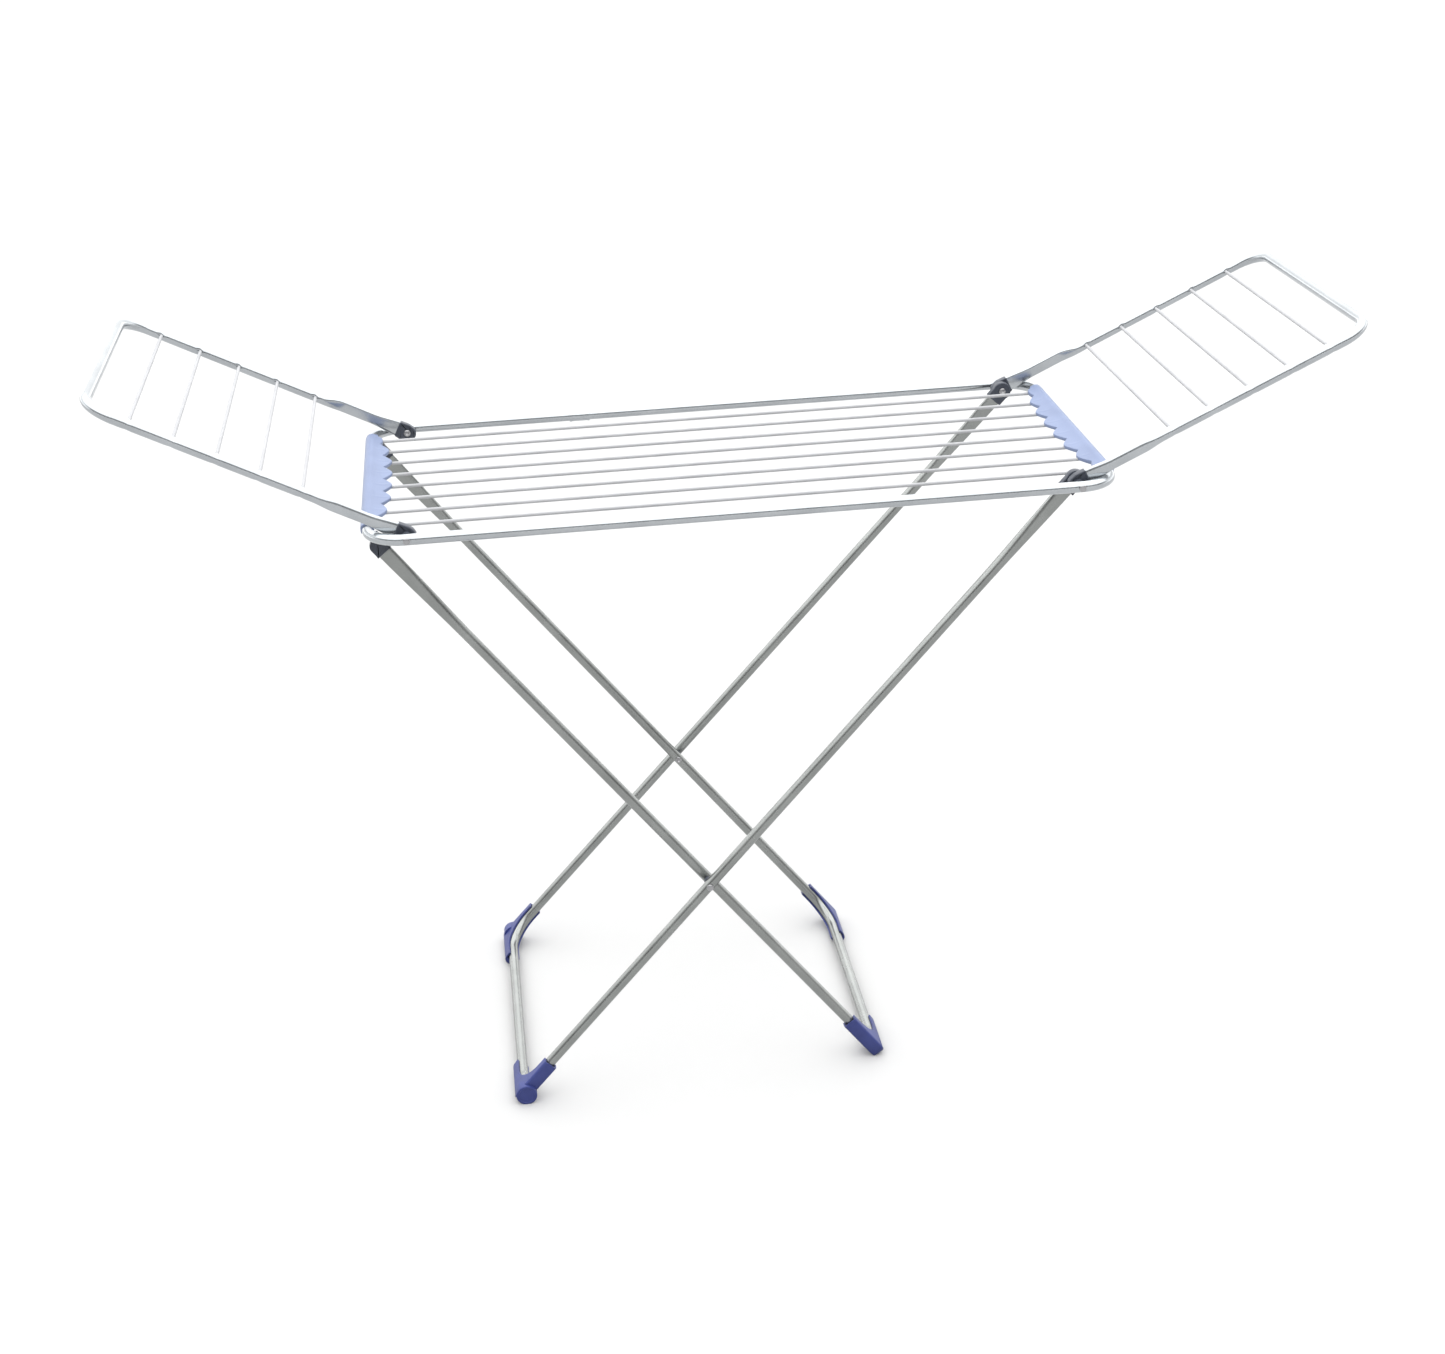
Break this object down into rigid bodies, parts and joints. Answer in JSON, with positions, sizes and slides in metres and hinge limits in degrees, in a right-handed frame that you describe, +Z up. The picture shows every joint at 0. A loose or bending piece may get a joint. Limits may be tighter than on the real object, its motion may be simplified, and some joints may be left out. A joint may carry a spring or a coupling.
{
  "type": "clothes drying rack",
  "caption": "Folding freestanding clothes drying rack: a wired centre frame with toothed wire holders, two tilting wings and crossed U-shaped legs on moulded feet.",
  "frame": {"origin": "on the floor, at the middle of the open rack's box", "axes": "+X runs along the rack from the hooked end towards the riveted leg end, +Y to the back, +Z up"},
  "size_m": [1.7994, 0.5606, 1.1458],
  "materials": {
    "tube_steel": "satin silver-grey coating",
    "coated_wire": "smooth white coating over steel wire",
    "comb_plastic": "satin moulded light blue",
    "cap_plastic": "satin moulded dark slate",
    "foot_plastic": "satin moulded indigo",
    "rivet_steel": "bright pressed rivet heads"
  },
  "bodies": {
    "centre_frame": {"centre_frame_tube": "tube_steel", "frame_joint_sleeve": "tube_steel", "left_comb": "comb_plastic", "right_comb": "comb_plastic", "drying_wire_1": "coated_wire", "drying_wire_2": "coated_wire", "drying_wire_3": "coated_wire", "drying_wire_4": "coated_wire", "drying_wire_5": "coated_wire", "drying_wire_6": "coated_wire", "drying_wire_7": "coated_wire", "drying_wire_8": "coated_wire", "left_front_rivet": "rivet_steel", "left_front_washer": "cap_plastic", "left_back_rivet": "rivet_steel", "left_back_washer": "cap_plastic", "right_front_rivet": "rivet_steel", "right_front_washer": "cap_plastic", "right_back_rivet": "rivet_steel", "right_back_washer": "cap_plastic"},
    "left_wing": {"left_wing_tube": "tube_steel", "left_wing_rod_1": "coated_wire", "left_wing_rod_2": "coated_wire", "left_wing_rod_3": "coated_wire", "left_wing_rod_4": "coated_wire", "left_wing_rod_5": "coated_wire", "left_wing_front_cap": "cap_plastic", "left_wing_back_cap": "cap_plastic"},
    "right_wing": {"right_wing_tube": "tube_steel", "right_wing_rod_1": "coated_wire", "right_wing_rod_2": "coated_wire", "right_wing_rod_3": "coated_wire", "right_wing_rod_4": "coated_wire", "right_wing_rod_5": "coated_wire", "right_wing_front_cap": "cap_plastic", "right_wing_back_cap": "cap_plastic"},
    "outer_legs": {"outer_leg_tube": "tube_steel", "outer_leg_front_cap": "cap_plastic", "outer_leg_back_cap": "cap_plastic", "outer_leg_front_foot": "foot_plastic", "outer_leg_back_foot": "foot_plastic", "crossing_front_rivet": "rivet_steel", "crossing_back_rivet": "rivet_steel", "crossing_front_spacer": "cap_plastic", "crossing_back_spacer": "cap_plastic"},
    "inner_legs": {"inner_leg_tube": "tube_steel", "inner_leg_front_cap": "cap_plastic", "inner_leg_back_cap": "cap_plastic", "inner_leg_front_foot": "foot_plastic", "inner_leg_back_foot": "foot_plastic"}
  },
  "joints": [
    {"name": "left_wing_fold", "type": "hinge", "parent": "centre_frame", "child": "left_wing", "pos_m": [-0.48, 0, 0.925], "axis": [0, 1, 0], "range_deg": [0, 147.2]},
    {"name": "right_wing_fold", "type": "hinge", "parent": "centre_frame", "child": "right_wing", "pos_m": [0.4696, 0, 0.925], "axis": [0, -1, 0], "range_deg": [0, 149.8]},
    {"name": "leg_fold", "type": "hinge", "parent": "centre_frame", "child": "outer_legs", "pos_m": [0.4696, 0, 0.925], "axis": [0, 1, 0], "range_deg": [0, 41.86]},
    {"name": "leg_cross", "type": "hinge", "parent": "outer_legs", "child": "inner_legs", "pos_m": [-0.08304, 0, 0.3352], "axis": [0, 1, 0], "range_deg": [0, 80.82]}
  ],
  "couplings": [
    {"joint": "leg_cross", "follows": "leg_fold", "ratio": 1.9305}
  ]
}
